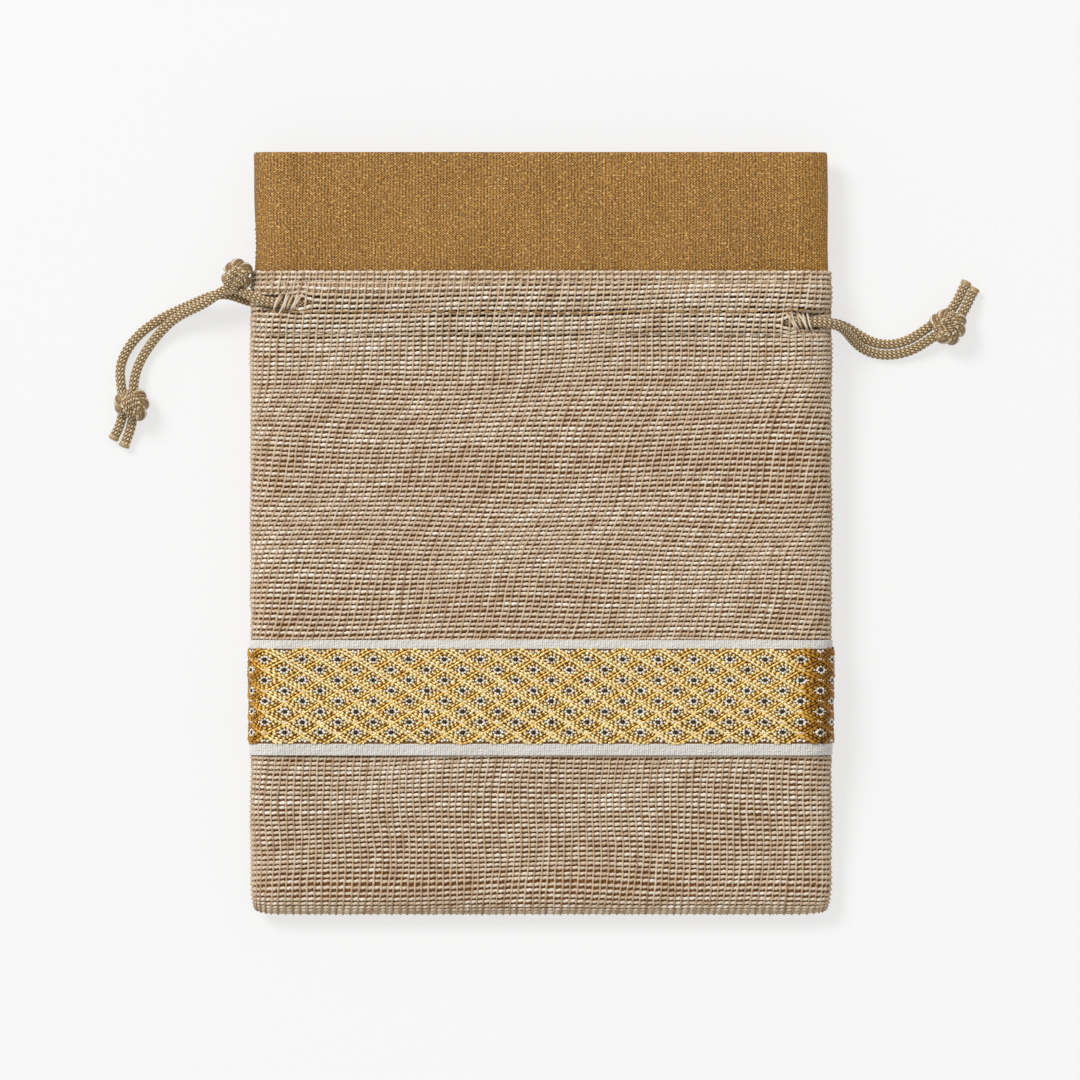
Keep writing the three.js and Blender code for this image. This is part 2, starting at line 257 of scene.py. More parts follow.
def add_node(tree, kind, inputs, **settings):
    """A shader node with its settings, and each input given a value or linked from a socket."""
    node = tree.nodes.new(kind)
    for name, value in settings.items():
        setattr(node, name, value)
    for name, value in inputs.items():
        if isinstance(value, bpy.types.NodeSocket):
            tree.links.new(value, node.inputs[name])
        else:
            node.inputs[name].default_value = value
    return node


def new_group(name, given, made):
    """An empty node group with named number sockets: those given, with values, and those made."""
    group = bpy.data.node_groups.new(name, "ShaderNodeTree")
    for socket, value in given:
        face = group.interface.new_socket(socket, in_out="INPUT", socket_type="NodeSocketFloat")
        face.default_value = value
    for socket in made:
        group.interface.new_socket(socket, in_out="OUTPUT", socket_type="NodeSocketFloat")
    return group


def make_fibre_group():
    """Fine fibres that run along a yarn: their shade, from 0 to 1, and their height."""
    group = new_group("yarn_fibres", (("Along", 0.5), ("Across", 14.0)), ("Shade", "Height"))
    given = add_node(group, "NodeGroupInput", {}).outputs
    place = add_node(group, "ShaderNodeAttribute", {}, attribute_name="cloth").outputs["Vector"]
    reach = {"X": given["Along"], "Y": given["Across"], "Z": 1.0}
    stretch = add_node(group, "ShaderNodeCombineXYZ", reach)
    scaled = {0: place, 1: stretch.outputs["Vector"]}
    grow = add_node(group, "ShaderNodeVectorMath", scaled, operation="MULTIPLY")
    fine = {"Vector": grow.outputs["Vector"], "Scale": 1.0, "Detail": 3.0, "Roughness": 0.6}
    fibres = add_node(group, "ShaderNodeTexNoise", fine).outputs["Fac"]
    broad = {"Vector": place, "Scale": 0.11, "Detail": 2.0}
    slow = add_node(group, "ShaderNodeTexNoise", broad).outputs["Fac"]
    blend = add_node(group, "ShaderNodeMath", {0: fibres, 1: slow}, operation="ADD")
    halve = {0: blend.outputs["Value"], 1: 0.5}
    mean = add_node(group, "ShaderNodeMath", halve, operation="MULTIPLY").outputs["Value"]
    add_node(group, "NodeGroupOutput", {"Shade": mean, "Height": fibres})
    return group


fibre_group = make_fibre_group()


def add_ramp(tree, colors, low, high, value):
    """Colours spread evenly from low to high, read at a value."""
    ramp = add_node(tree, "ShaderNodeValToRGB", {"Fac": value})
    stops = ramp.color_ramp.elements
    stops[0].color = (*colors[0], 1)
    stops[0].position = low
    stops[1].color = (*colors[-1], 1)
    stops[1].position = high
    for k, color in enumerate(colors[1:-1], 1):
        stops.new(low + (high - low) * k / (len(colors) - 1)).color = (*color, 1)
    return ramp.outputs["Color"]


def finish_surface(tree, color, height, strength, distance):
    """The colour and the fine relief of a material."""
    shader = tree.nodes["Principled BSDF"]
    relief = {"Strength": strength, "Distance": distance, "Height": height}
    bump = add_node(tree, "ShaderNodeBump", relief)
    tree.links.new(color, shader.inputs["Base Color"])
    tree.links.new(bump.outputs["Normal"], shader.inputs["Normal"])


def yarn_material(name, colors, roughness, along, across, bump, spread=0.5, sheen=0.0, metal=0.0):
    """Yarn coloured from dark to light by its tone. Where a yarn's tone follows its relief, the dark where
    it dips is painted shade and the light where it stands is painted highlight.
    """
    material = bpy.data.materials.new(name)
    material.use_nodes = True
    tree = material.node_tree
    shader = tree.nodes["Principled BSDF"]
    shader.inputs["Roughness"].default_value = roughness
    shader.inputs["Sheen Weight"].default_value = sheen
    shader.inputs["Sheen Roughness"].default_value = 0.5
    shader.inputs["Metallic"].default_value = metal
    sizes = {"Along": along, "Across": across}
    fibres = add_node(tree, "ShaderNodeGroup", sizes, node_tree=fibre_group).outputs
    tone = add_node(tree, "ShaderNodeAttribute", {}, attribute_name="tone").outputs["Fac"]
    spreading = {0: fibres["Shade"], 1: spread, 2: -spread / 2}
    centre = add_node(tree, "ShaderNodeMath", spreading, operation="MULTIPLY_ADD").outputs["Value"]
    mix = add_node(tree, "ShaderNodeMath", {0: tone, 1: centre}, operation="ADD").outputs["Value"]
    finish_surface(tree, add_ramp(tree, colors, 0.0, 1.0, mix), fibres["Height"], bump, 0.0001)
    return material


def shade(text):
    """A colour as the eye reads it, such as b49e84, turned into light values."""
    raw = np.array([int(text[k : k + 2], 16) / 255 for k in (0, 2, 4)])
    return tuple(np.where(raw <= 0.04045, raw / 12.92, ((raw + 0.055) / 1.055) ** 2.4))


def shades(text):
    """Colours from dark to light, written one after another."""
    return [shade(one) for one in text.split()]


cord_colors = shades("3a260c 785a34 a48452 f1e2c0")
cord_material = yarn_material("braided_cord", cord_colors, 0.5, 1.2, 12.0, 0.4, 0.3, sheen=0.15)
tip_colors = shades("8f744c c9ae80")
tip_material = yarn_material("melted_tip", tip_colors, 0.4, 3.0, 3.0, 0.3)

LANE_TOP_Z = 12.15  # the cords' front legs in the channel
LANE_BACK_Z = 2.65
LEFT_LANE_Y = 55.5
RIGHT_LANE_Y = 50.9

left_front_route = [
    (-50, 55.5, 12.15), (-54, 55.5, 12.15), (-58, 55.5, 12.15), (-61.4, 55.5, 12.15),
    (-64.5, 55.5, 12.15), (-67.2, 55.8, 12.1), (-69.8, 57, 11.8), (-72.2, 58.7, 11.2),
    (-74.6, 59.5, 10.3), (-77.2, 58.1, 9), (-80.6, 55.5, 7.2), (-84.4, 53.9, 5.4),
    (-88, 52.1, 3.7), (-91.5, 49, 2.1), (-94.7, 45, 1.35), (-97.3, 40.6, 1.5),
    (-98.3, 36.3, 2.6), (-98.4, 31.2, 3.4), (-98.4, 27.8, 2.4), (-98.6, 26, 1.8),
    (-99.7, 23.4, 1.4), (-100.8, 20.7, 1.3),
]
left_back_route = [
    (-60, 55.5, 2.65), (-64, 55.5, 2.65), (-67, 55.5, 2.65), (-70, 55.7, 2.9),
    (-73, 56.9, 4.3), (-75.8, 57.9, 5.8), (-78.6, 57.6, 5.8), (-81.6, 56.4, 4.5),
    (-84.9, 55, 2.8), (-88.6, 53.4, 1.4), (-93, 51.1, 1.3), (-97.6, 47.5, 1.3),
    (-100.9, 42.7, 1.3), (-101.8, 39, 1.7), (-101.3, 36.2, 2.6), (-100.7, 31.2, 3.6),
    (-100.9, 27.8, 2.6), (-101.3, 26.4, 2), (-102.5, 24.2, 1.5), (-103.6, 22.1, 1.3),
]
right_front_route = [
    (50, 50.9, 12.15), (54, 50.9, 12.15), (58, 50.9, 12.15), (61.4, 50.9, 12.15),
    (64.5, 50.9, 12.15), (67.6, 50.8, 12.1), (70.8, 50.3, 11.7), (72.8, 49.3, 9.4),
    (74, 48, 6.8), (75.2, 46.5, 4.3), (77.2, 44.6, 2.2), (80, 43.4, 1.4), (83.5, 42.9, 1.3),
    (88, 43.6, 1.5), (91.6, 45.2, 2.2), (94.1, 47.2, 3), (97.6, 49, 4), (100.4, 51.2, 3.8),
    (102.2, 54, 3.1), (103.4, 56.6, 2), (104.8, 59.3, 1.4),
]
right_back_route = [
    (60, 50.9, 2.65), (64, 50.9, 2.65), (67, 50.9, 2.65), (70.4, 50.9, 2.65),
    (72.6, 50.5, 2.3), (75.2, 49, 1.7), (77.6, 47.2, 1.4), (80.2, 45.9, 1.3),
    (84, 45.4, 1.3), (87.6, 46.1, 1.6), (90.4, 47.5, 2.4), (93, 49.5, 3.1),
    (96, 51.4, 4.1), (98.4, 53, 3.8), (100, 55.1, 3.1), (101.2, 57.8, 2), (102.6, 60.5, 1.4),
]


def loop_route(side, lane_y, front_end, back_end):
    """The stretch inside the channel, from a front end round the far side to a back end."""
    front = [(side * x, lane_y, LANE_TOP_Z) for x in (front_end, -20, 20, 55)]
    middle = (LANE_TOP_Z + LANE_BACK_Z) / 2
    radius = (LANE_TOP_Z - LANE_BACK_Z) / 2
    turn = []
    for angle in np.radians(np.arange(90, -91, -15)):
        turn.append((side * (62.8 + radius * np.cos(angle)), lane_y, middle + radius * np.sin(angle)))
    back = [(side * x, lane_y, LANE_BACK_Z) for x in (55, 20, -20, back_end)]
    return front + turn + back


def add_loop(name, body, node, side, lane_y):
    """The hidden loop, braided from each of its ends to the far side, so that it carries on
    from the free cords when it is pulled out."""
    route = loop_route(side, lane_y, -50, -60)
    far = len(route) // 2
    halves = [braid(route[: far + 1], step=0.28), braid(route[far:][::-1], step=0.28)]
    loop = finish_mesh(name, *joined(halves), cord_material)
    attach(loop, body)
    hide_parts(node)


add_loop("left_channel_cord", "left_cord", "left_cord_loop", 1, LEFT_LANE_Y)
add_loop("right_channel_cord", "right_cord", "right_cord_loop", -1, RIGHT_LANE_Y)


def add_tip(name, body, route):
    """The cut end, melted into a slightly flared rim."""
    end = np.array(route[-1], float)
    ahead = unit(end - np.array(route[-3], float))
    rings = np.array([-0.9, -0.5, -0.1, 0.15, 0.32, 0.4])
    girths = np.array([1.12, 1.2, 1.3, 1.3, 1.05, 0.02])
    line = (end + ahead * rings[:, None])[None]
    up = np.broadcast_to((0.0, 0.0, 1.0), line.shape)
    made = ring_tubes(
        line, up, girths[None], girths[None] * 0.96, 20, np.full((1, 6), 0.5), rings[None], np.ones(1)
    )
    points = made[0]
    ripple = np.random.default_rng(len(name)).normal(0, 0.05, len(points))
    points = points + unit(points - end) * ripple[:, None]
    tip = finish_mesh(name, points, *made[1:], tip_material)
    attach(tip, body)
    return tip


def ease(a, b, x):
    t = np.clip((x - a) / (b - a), 0, 1)
    return t * t * (3 - 2 * t)


def bight(centre, bearing, reach, height, width):
    """One turn of cord over the top of a knot, round its rim and back underneath."""
    turn = np.radians(np.linspace(98, -98, 15))
    inner = 0.22 * reach
    out = inner + (reach - width / 2 - inner) * np.cos(turn)
    lift = (height - width / 2) * np.sin(turn)
    x = centre[0] + out * np.cos(bearing)
    y = centre[1] + out * np.sin(bearing)
    points = np.stack([x, y, centre[2] + lift], 1)
    made = braid(points, width, satin=lambda t: ease(0.12, 0.34, t) * (1 - ease(0.66, 0.9, t)))
    sideways = np.array([-np.sin(bearing), np.cos(bearing), 0])
    spread = (made[0] - np.array([*centre[:2], 0])) @ sideways
    return made[0] + 0.5 * spread[:, None] * sideways, *made[1:]


def crossing(centre, start, end, reach, height, aside, width):
    """One strand over the top of a knot, from the bearing it comes from to the one it leaves at."""
    first = reach * np.array([np.cos(start), np.sin(start)])
    last = reach * np.array([np.cos(end), np.sin(end)])
    t = np.linspace(0, 1, 9)
    flat = (1 - t)[:, None] ** 2 * first + t[:, None] ** 2 * last
    ahead = unit(np.gradient(flat, axis=0))
    flat = flat + aside * np.stack([-ahead[:, 1], ahead[:, 0]], 1)
    lift = (height - width * 0.3) * np.sin(np.pi * (0.06 + 0.88 * t)) ** 0.6
    return braid(np.column_stack([flat + centre[:2], centre[2] + lift]), width)


def add_knot(name, body, node, petals, entry, leave, width=2.25):
    """An overhand knot tied in the doubled cord: its turns round the rim, each with a bearing
    in degrees and a reach, and the two strands that cross over its top."""
    low, high = (np.array(v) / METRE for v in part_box(node))
    centre = (low + high) / 2
    height = (high[2] - low[2]) / 2
    strands = []
    for bearing, reach in petals:
        strands.append(bight(centre, np.radians(bearing), reach, height, width))
    for aside in (-0.95, 0.95):
        strands.append(
            crossing(centre, np.radians(entry), np.radians(leave), 2.9, height, aside, width * 0.92)
        )
    piece = finish_mesh(name, *joined(strands), cord_material)
    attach(piece, body)
    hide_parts(node)
    return piece


left_inner_turns = [(193, 3.9), (129, 4.1), (87, 4.6), (41, 4.5), (-33, 3.8)]
left_outer_turns = [(160, 4.4), (200, 4.2), (46, 4.6), (4, 4.5), (-48, 4.8)]
right_turns = [(112, 4.5), (155, 4.9), (28, 4.9), (-18, 4.5), (-70, 4.8), (-115, 4.6)]
left_inner = add_knot("left_inner_overhand_knot", "left_cord", "left_inner_knot", left_inner_turns, 60, -125)
left_outer = add_knot("left_outer_overhand_knot", "left_cord", "left_outer_knot", left_outer_turns, 118, -70)
right_knot = add_knot("right_overhand_knot", "right_cord", "right_knot", right_turns, 205, 48)


def relaxed(route, turns=40):
    """The route with its corners eased, as a soft cord would lie."""
    line, _ = smooth_line(route, 0.5)
    for _ in range(turns):
        line[4:-4] = line[4:-4] / 2 + (line[3:-5] + line[5:-3]) / 4
    return line[::3]


def add_cord(name, body, route, nodes):
    route = relaxed(route)
    cord = finish_mesh(name, *braid(route), cord_material)
    path, run = smooth_line(route, 1.5)
    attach(cord, body)
    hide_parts(*nodes)
    tip = add_tip(name + "_tip", body, route)


add_cord(
    "left_front_cord", "left_cord", left_front_route,
    ["left_front_strand", "left_inner_strand", "left_tail_b"],
)
add_cord(
    "left_back_cord", "left_cord", left_back_route,
    ["left_back_strand", "left_outer_strand", "left_tail_a"],
)
add_cord(
    "right_front_cord", "right_cord", right_front_route,
    ["right_front_strand", "right_tail_b"],
)
add_cord(
    "right_back_cord", "right_cord", right_back_route,
    ["right_back_strand", "right_tail_a"],
)


# ---- Jute shell ------------------------------------------------------------------------
# Front and back panels of open jute mesh, seamed round the sides and bottom and turned
# outside in. Thick slubby weft runs across, and thin warp leans as the cloth has drifted.
HALF_WIDTH = 70.0
HALF_LENGTH = 91.75
SIDE_ROUND = 8.0
BOTTOM_ROUND = 9.0
FLAT_HALF = HALF_WIDTH - SIDE_ROUND
BOTTOM_FLAT_Y = -HALF_LENGTH + BOTTOM_ROUND
SHELL_TOP_Y = 63.35
SIDE_ARC = 11.6  # length of cloth in each rounded side
BOTTOM_ARC = 10.8
SEAM_GAP = 0.1
BOTTOM_HEIGHT = 8  # of the outer surface, where the cloth leaves the bottom seam
BODY_RISE = 5.2
CHANNEL_RISE = 1.05
FOLD_DROP = 1.95
CHANNEL_FLOOR = 0.55
CHANNEL_Y = (40, 49)  # where the body rises to the channel
STITCH_Y = {"upper": 60.6, "middle": 53.3, "lower": 48.0}
LEFT_EXIT_X = -58.0
RIGHT_EXIT_X = 60.0
WEFT_PITCH = 1.18
WARP_PITCH = 1.70


def outer_heights(y):
    """Heights of the back's and the front's outer surface, along the pouch."""
    rise = ease(*CHANNEL_Y, y)
    body = BOTTOM_HEIGHT + BODY_RISE * ease(BOTTOM_FLAT_Y, -45, y)
    top = body + CHANNEL_RISE * rise - FOLD_DROP * ease(57.5, SHELL_TOP_Y, y)
    return CHANNEL_FLOOR * rise, top


def wander(along, across, seed, reach, long_grain, cross_grain):
    """A smooth random wave over the cloth."""
    rng = np.random.default_rng(seed)
    total = 0
    for _ in range(7):
        turns = rng.normal(size=2)
        total = total + np.sin(
            2 * np.pi * (turns[0] * along / long_grain + turns[1] * across / cross_grain)
            + rng.uniform(0, 2 * np.pi)
        )
    return reach * total / 2.6


def lay_cloth(u, v, side, inset, heights=outer_heights, gap=SEAM_GAP, half_width=HALF_WIDTH):
    """Places of cloth points u across and v along, on the front (side 1) or back (-1), at an
    inset from the outer surface. Past the flat part the cloth turns round the edge."""
    flat = half_width - SIDE_ROUND
    over = np.clip((np.abs(u) - flat) / SIDE_ARC, 0, 1) * np.pi / 2
    x = np.where(np.abs(u) <= flat, u, np.sign(u) * (flat + (SIDE_ROUND - inset) * np.sin(over)))
    share = np.cos(over)
    under = np.clip((BOTTOM_FLAT_Y - v) / BOTTOM_ARC, 0, 1) * np.pi / 2
    y = np.where(v >= BOTTOM_FLAT_Y, v, BOTTOM_FLAT_Y - (BOTTOM_ROUND - inset) * np.sin(under))
    corner = (1 - share) * (1 - np.cos(under))
    x = x * (1 + 0.0011 * (np.sin(v / 6.1 + 1) + np.sin(v / 2.9))) - np.sign(u) * 1.6 * corner
    y = y + 1.6 * corner
    share = share * np.cos(under)
    floor, top = heights(y)
    middle, half = (floor + top) / 2, (top - floor) / 2
    z = middle + side * (gap + (half - inset - gap) * share)
    return np.stack([x, y, z], -1)


def outward(u, v, side, inset, **kind):
    return unit(lay_cloth(u, v, side, inset - 0.3, **kind) - lay_cloth(u, v, side, inset + 0.3, **kind))


def calm(v):
    """The weft runs true along the top fold and the bottom seam."""
    return ease(-94, -86, v) * (1 - ease(56, 62.5, v))


def warp_lean(v):
    """How far the warp has drifted across, at a place along the cloth."""
    return 0.02 * (v + 93) + 24.0 * ease(-58, 62, v) + 0.35 * np.sin(v / 4.7)


def edge_shade(v):
    """Painted shade: the yarns are darkened towards the bottom, where the cloth turns under."""
    return 0.2 * (1 - ease(-93, -85, v))


def pinch(v):
    """How far the stitching pulls the cloth in."""
    depths = {"upper": 0.35, "middle": 0.75, "lower": 0.6}
    return sum(depth * np.exp(-(((v - STITCH_Y[row]) / 0.9) ** 2)) for row, depth in depths.items())


def exit_dip(u, v):
    """The hollow that each cord lies in, from its exit to the side."""
    left = ease(-LEFT_EXIT_X - 0.5, -LEFT_EXIT_X + 3.5, -u) * np.exp(-(((v - LEFT_LANE_Y) / 2.35) ** 4))
    right = ease(RIGHT_EXIT_X - 0.5, RIGHT_EXIT_X + 3.5, u) * np.exp(-(((v - RIGHT_LANE_Y) / 2.35) ** 4))
    return 3.4 * (left + right) * (1 - ease(66, 71, np.abs(u)))


def part_round_exits(u, v):
    """Wefts pushed apart where each cord comes out through the cloth."""
    for x, lane in ((LEFT_EXIT_X, LEFT_LANE_Y), (RIGHT_EXIT_X, RIGHT_LANE_Y)):
        near = np.exp(-(((u - x) / 2.2) ** 2)) * np.exp(-(((v - lane) / 3.0) ** 2))
        v = v + np.where(v > lane, 1, -1) * 0.9 * near
    return v


def close_ends(piece):
    """Caps on the cut ends, so that a cloth has two sides and a rim all round."""
    shape = bmesh.new()
    shape.from_mesh(piece.data)
    bmesh.ops.holes_fill(shape, edges=[e for e in shape.edges if e.is_boundary], sides=0)
    shape.to_mesh(piece.data)
    shape.free()


def add_halves(name, made, material, nodes, closed=False):
    """The cloth in a left and a right half. When a drawstring is pulled, its turn inside the
    channel carries the far side of the mouth along; the halves are not tied to either cord here."""
    points, faces, around, tone = made
    centre = points[faces].mean(axis=1)[:, 0]
    halves = []
    for end, cord_body, sign in (("right", "left_cord", 1), ("left", "right_cord", -1)):
        chosen = faces[(centre >= 0) == (sign > 0)]
        if len(chosen) == 0:
            continue
        used, renumbered = np.unique(chosen, return_inverse=True)
        half_piece = finish_mesh(
            f"{name}_{end}", points[used], renumbered.reshape(-1, 4), around[used], tone[used], material
        )
        if closed:
            close_ends(half_piece)
        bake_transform(half_piece)
        if nodes:
            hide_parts(*nodes)
        halves.append(half_piece)
    return halves


def edge_mask(u, v):
    return (np.abs(u) <= FLAT_HALF + SIDE_ARC) & (v <= SHELL_TOP_Y) & (v >= BOTTOM_FLAT_Y - BOTTOM_ARC)


def keep_tubes(made, keep, sides):
    """Only the quads between points that are kept."""
    points, faces, around, tone = made
    inside = np.repeat(keep.ravel(), sides)
    return points, faces[inside[faces].all(axis=1)], around, tone


def weave(side, seed, from_v, to_v, base_inset, sides, per_cross, slant=0.0):
    """Weft and warp yarns of one panel between two places along it. The weft slants a little
    from each warp to the next."""
    rng = np.random.default_rng(seed)
    reach_u = FLAT_HALF + SIDE_ARC + 1
    warp_first, warp_last = int(-(reach_u + 27) / WARP_PITCH), int(reach_u / WARP_PITCH) + 1
    rows = np.arange(from_v + WEFT_PITCH / 2, to_v, WEFT_PITCH)
    index = np.arange(warp_first * per_cross, warp_last * per_cross + 1) / per_cross
    number = np.arange(len(rows))

    # weft: thick, soft and uneven, fullest between the warps
    v = rows[:, None] + rng.normal(0, 0.035, (len(rows), 1))
    u = index[None] * WARP_PITCH + warp_lean(v)
    v = v + calm(v) * wander(u, v, seed, 0.6, 110, 60) + wander(u, v, seed + 1, 0.06, 7, 4)
    v = v + slant * np.round(np.sin(2 * np.pi * index), 1)[None]
    u = u + wander(v, u, seed + 2, 0.5, 50, 90)
    v = part_round_exits(u, v)
    slub = np.clip(wander(u, v * 30, seed + 3, 0.8, 13, 31), 0, 1.5)
    between = -np.cos(2 * np.pi * index)[None] * per_cross / 2
    half_high = 0.29 + 0.03 * between + 0.04 * slub
    half_wide = 0.365 + 0.035 * between + 0.07 * slub + wander(u, v * 9, seed + 4, 0.045, 4, 9)
    inset = base_inset(v) + 0.06 - 0.05 * between + pinch(v) + exit_dip(u, v)
    # Tone, with painted highlight where the weft stands between the warps and on its slubs, and painted
    # shade where it dips under them; the rest is random tone.
    bright = 0.54 + 0.16 * between + 0.10 * slub + wander(u, v * 12, seed + 5, 0.12, 7, 29)
    bright = bright + rng.normal(0, 0.06, (len(rows), 1)) + wander(u, v, seed + 9, 0.05, 40, 30)
    bright = bright - edge_shade(v)
    line = lay_cloth(u, v, side, inset)
    out = outward(u, v, side, inset)
    weft = ring_tubes(line, out, half_wide, half_high, sides, bright, u, number * 5.3)
    weft = keep_tubes(weft, edge_mask(u, v), sides)

    # warp: thin, wraps over every weft
    columns = np.arange(warp_first, warp_last + 1)
    step = WEFT_PITCH / 2
    v = np.arange(from_v, to_v + step, step)[None] + np.zeros((len(columns), 1))
    crossing = np.cos(2 * np.pi * (v - from_v - WEFT_PITCH / 2) / WEFT_PITCH)
    u = columns[:, None] * WARP_PITCH + warp_lean(v) + rng.normal(0, 0.08, (len(columns), 1))
    u = u + wander(v, u, seed + 2, 0.5, 50, 90) + wander(v, u, seed + 6, 0.10, 8, 3)
    v = v + calm(v) * wander(u, v, seed, 0.6, 110, 60)
    v = part_round_exits(u, v)
    girth = 0.29 + wander(v, u * 5, seed + 7, 0.035, 8, 9)
    inset = base_inset(v) - 0.28 * crossing - 0.03 + pinch(v) + exit_dip(u, v)
    line = lay_cloth(u, v, side, inset)
    out = outward(u, v, side, inset)
    # Tone, with painted highlight where the warp passes over a weft and painted shade where it dips under;
    # the rest is random tone.
    bright = 0.5 + 0.2 * crossing + wander(v, u * 12, seed + 8, 0.12, 12, 31) - edge_shade(v)
    warp = ring_tubes(line, out, girth * 1.05, girth, sides, bright, v, columns * 4.1)
    warp = keep_tubes(warp, edge_mask(u, v), sides)
    return weft, warp


weft_colors = shades("8c6a48 c2a583 e1d0b8 fbf5ea")
warp_colors = shades("7a5937 b99775 dbc2a2 f6e8d4")
weft_material = yarn_material("jute_weft", weft_colors, 0.85, 0.5, 7.0, 0.6, 0.45, sheen=0.1)
warp_material = yarn_material("jute_warp", warp_colors, 0.8, 0.6, 6.0, 0.6, 0.4, sheen=0.1)

OUTER_INSET = 0.3
BACK_LIFT = 0.42  # keeps the back's warps clear of the table


def front_inset(v):
    return OUTER_INSET + 0 * v


def back_inset(v):
    return OUTER_INSET + BACK_LIFT * (1 - ease(*CHANNEL_Y, v))


panels = (("front", 1, 11, 5, 3, -0.08, front_inset), ("back", -1, 47, 4, 2, 0.0, back_inset))
for face, side, seed, sides, per_cross, slant, inset in panels:
    bottom_v = BOTTOM_FLAT_Y - BOTTOM_ARC
    weft, warp = weave(side, seed, bottom_v, SHELL_TOP_Y, inset, sides, per_cross, slant)
    wefts = add_halves(
        f"jute_weft_{face}", weft, weft_material, [f"shell_{face}"], closed=True
    )
    warps = add_halves(f"jute_warp_{face}", warp, warp_material, [f"shell_{face}"])


# Loose yarns drawn over each cord where it comes out between the wefts.
def exit_yarns(first_x, lane, lean, count, seed):
    rng = np.random.default_rng(seed)
    t = np.linspace(-1, 1, 17)[None]
    foot = first_x + 0.86 * np.arange(count)[:, None] + rng.normal(0, 0.12, (count, 1))
    reach = 2.45 + rng.normal(0, 0.2, (count, 1))
    u = foot + lean * t + 0.25 * np.sin(2.2 * t + rng.uniform(0, 6, (count, 1)))
    v = lane + reach * t
    bed = lay_cloth(u, v, 1, OUTER_INSET + 0.25 + exit_dip(u, v))
    over = LANE_TOP_Z + CORD / 2 + 0.38 + rng.normal(0, 0.05, (count, 1))
    share = 1 - ease(0.42, 0.9, np.abs(t))
    z = bed[..., 2] * (1 - share) + np.maximum(over, bed[..., 2]) * share
    line = np.stack([u, v, z], -1)
    out = np.broadcast_to((0.0, 0.0, 1.0), line.shape)
    girth = 0.28 + rng.normal(0, 0.03, (count, 1)) + 0.0 * u
    # Painted shade: each yarn is darker towards its ends, where it goes down into the cloth; the rest is
    # random tone.
    tone = 0.62 + rng.normal(0, 0.12, (count, 1)) - 0.3 * t**4 + 0.0 * u
    return ring_tubes(line, out, girth, girth * 0.85, 6, tone, v, np.arange(count) * 3.1)


yarns = joined(
    [exit_yarns(-63.6, LEFT_LANE_Y, 1.2, 7, 3), exit_yarns(60.2, RIGHT_LANE_Y, -1.1, 6, 4)]
)
add_halves("exit_yarns", yarns, weft_material, [])


# ---- Turned hem ------------------------------------------------------------------------
# The shell's top edge is turned in and makes the channel's inner wall, so that the cloth is
# double from the top fold down to the hem's edge. The cords lie between its two layers.
HEM_BOTTOM_V = 47.3
HEM_NEAR = 1.0
HEM_FAR = 3.85


def hem_inset(v):
    """The hem lies close under the outer layer, and dips under the cord in each lane."""
    lanes = 0 * v
    for lane in (RIGHT_LANE_Y, LEFT_LANE_Y):
        lanes = lanes + ease(-2.4, -1.5, v - lane) * (1 - ease(1.5, 2.4, v - lane))
    return HEM_NEAR + (HEM_FAR - HEM_NEAR) * lanes


# Painted shade: the hem is the same jute as the shell, but its weft colours are a darker, warmer copy, for
# the turned-in layer that lies under the outer mesh.
hem_shade_colors = shades("5e4122 987445 c2a070 e2caa0")
hem_shade_material = yarn_material("jute_hem_shaded", hem_shade_colors, 0.85, 0.5, 7.0, 0.6, 0.45, sheen=0.1)
for face, side, seed in (("front", 1, 83), ("back", -1, 97)):
    weft, warp = weave(side, seed, HEM_BOTTOM_V, SHELL_TOP_Y - 0.5, hem_inset, 4, 2)
    wefts = add_halves(
        f"hem_weft_{face}", weft, hem_shade_material, [f"hem_{face}"], closed=True
    )
    warps = add_halves(f"hem_warp_{face}", warp, warp_material, [f"hem_{face}"])


# ---- Lining ----------------------------------------------------------------------------
# A bag of thin gold tissue inside the shell. Only the shell's holes show it, in shade.
def sheet_grid(u, v, side, inset, thick, kind, tone=0.5):
    """A closed sheet of cloth over a grid, with its outer face at inset."""
    uu, vv = np.meshgrid(u, v)
    depth = inset(uu, vv) if callable(inset) else inset + 0 * uu
    outer = lay_cloth(uu, vv, side, depth, **kind)
    inner = lay_cloth(uu, vv, side, depth + thick, **kind)
    n, m = uu.shape
    index = np.arange(n * m).reshape(n, m)

    def quads(grid, flip):
        q = np.stack([grid[:-1, :-1], grid[:-1, 1:], grid[1:, 1:], grid[1:, :-1]], -1)
        return q[..., ::-1].reshape(-1, 4) if flip else q.reshape(-1, 4)

    rim = np.concatenate([index[0, :], index[1:, -1], index[-1, -2::-1], index[-2:0:-1, 0]])
    back_rim = rim + n * m
    walls = np.stack([rim, back_rim, np.roll(back_rim, -1), np.roll(rim, -1)], -1)
    faces = np.vstack([quads(index, side < 0), quads(index + n * m, side > 0)])
    walls = walls[:, ::-1] if side < 0 else walls
    points = np.vstack([outer.reshape(-1, 3), inner.reshape(-1, 3)])
    around = np.stack([uu.ravel(), vv.ravel(), np.zeros(uu.size)], 1)
    tones = np.broadcast_to(tone, uu.shape).ravel()
    return points, np.vstack([faces, walls]), np.vstack([around, around]), np.tile(tones, 2)


